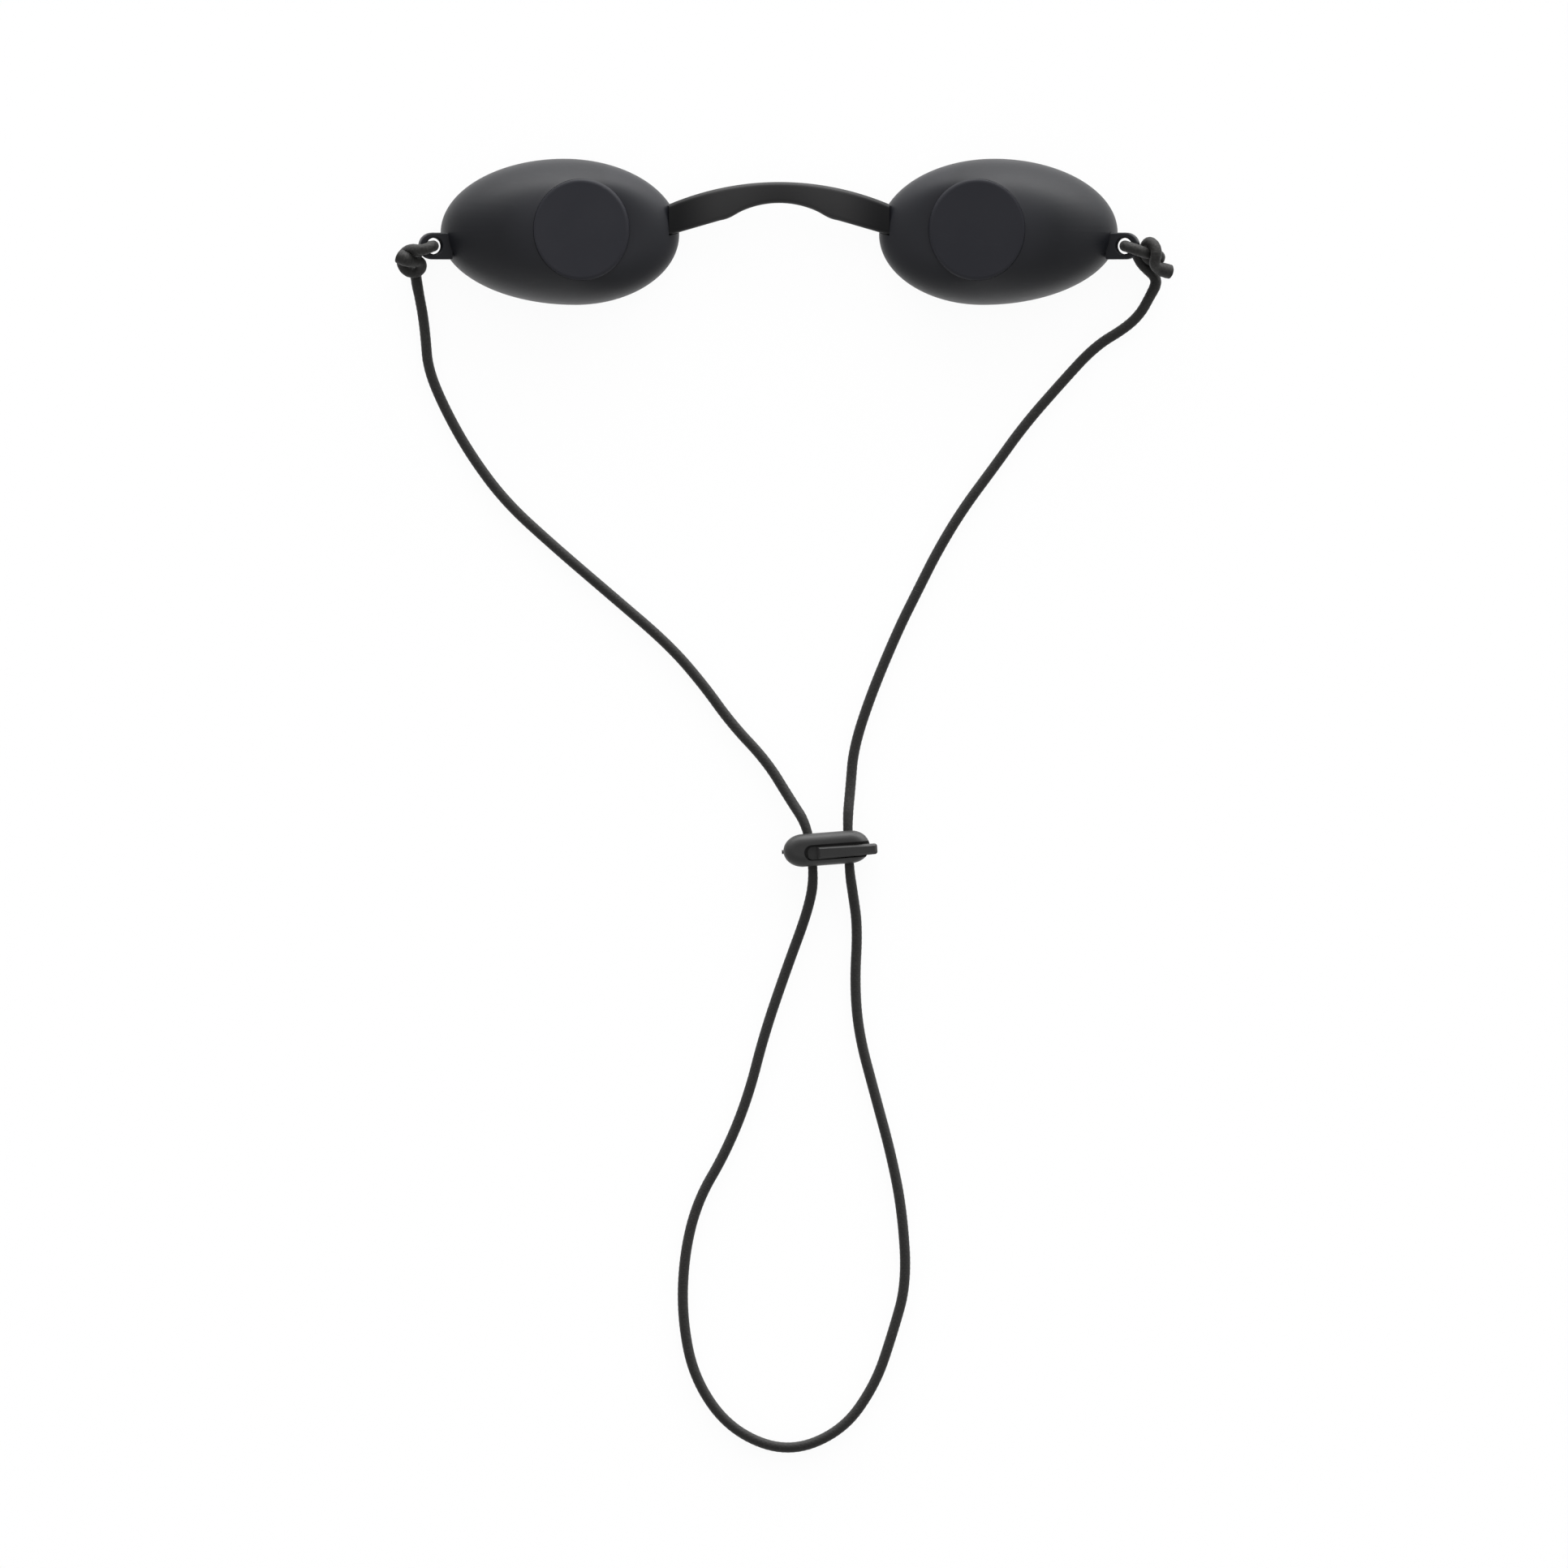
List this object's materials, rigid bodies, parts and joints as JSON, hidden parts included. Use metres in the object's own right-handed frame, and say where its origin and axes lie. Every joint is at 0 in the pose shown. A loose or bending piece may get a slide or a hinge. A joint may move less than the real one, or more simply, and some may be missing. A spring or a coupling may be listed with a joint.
{
  "type": "tanning goggles",
  "caption": "Soft-bridged tanning goggles: two egg-shaped eye cups with round dark filter windows and an elastic cord gathered by a spring lock.",
  "frame": {"origin": "middle of the goggles' footprint on the surface that the rims of the cups lie on, without the cord", "axes": "+X towards the cup whose eyelet is on the right in the picture, +Y towards the brow, +Z out of the front of the windows, away from the face"},
  "size_m": [0.1503, 0.2503, 0.0138],
  "materials": {
    "cup_plastic": "smooth satin near-black moulding",
    "filter_plastic": "near-opaque dark filter plastic, satin",
    "bridge_rubber": "soft satin black elastomer",
    "cord_braid": "tight black braid over an elastic core",
    "lock_plastic": "satin charcoal moulding",
    "spring_steel": "bright drawn wire"
  },
  "bodies": {
    "bridge": {"nose_bridge": "bridge_rubber", "left_cord_lower": "cord_braid", "right_cord_lower": "cord_braid", "cord_loop": "cord_braid"},
    "left_eye": {"left_cup": "cup_plastic", "left_lens": "filter_plastic", "left_knot": "cord_braid", "left_cord_upper": "cord_braid"},
    "right_eye": {"right_cup": "cup_plastic", "right_lens": "filter_plastic", "right_knot": "cord_braid", "right_cord_upper": "cord_braid"},
    "cord_lock": {"lock_barrel": "lock_plastic", "lock_spring": "spring_steel"},
    "lock_button": {"lock_plunger": "lock_plastic"}
  },
  "joints": [
    {"name": "left_cup_flex", "type": "hinge", "parent": "bridge", "child": "left_eye", "pos_m": [-0.0122, 0.0051, 0.0042], "axis": [0, -1, 0], "range_deg": [-20, 35], "stiffness_Nm_per_rad": 0.03, "deforming": ["nose_bridge", "left_cord_upper"]},
    {"name": "right_cup_flex", "type": "hinge", "parent": "bridge", "child": "right_eye", "pos_m": [0.0122, 0.0051, 0.0042], "axis": [0, 1, 0], "range_deg": [-20, 35], "stiffness_Nm_per_rad": 0.03, "deforming": ["nose_bridge", "right_cord_upper"]},
    {"name": "lock_slide", "type": "slide", "parent": "bridge", "child": "cord_lock", "axis": [0, 1, 0], "range_m": [-0.06, 0.035], "deforming": ["left_cord_lower", "right_cord_lower", "cord_loop"]},
    {"name": "lock_press", "type": "slide", "parent": "cord_lock", "child": "lock_button", "axis": [-0.9971, -0.0767, 0], "range_m": [0, 0.0012], "stiffness_N_per_m": 800, "springref_m": -0.001, "deforming": ["lock_spring"]}
  ]
}
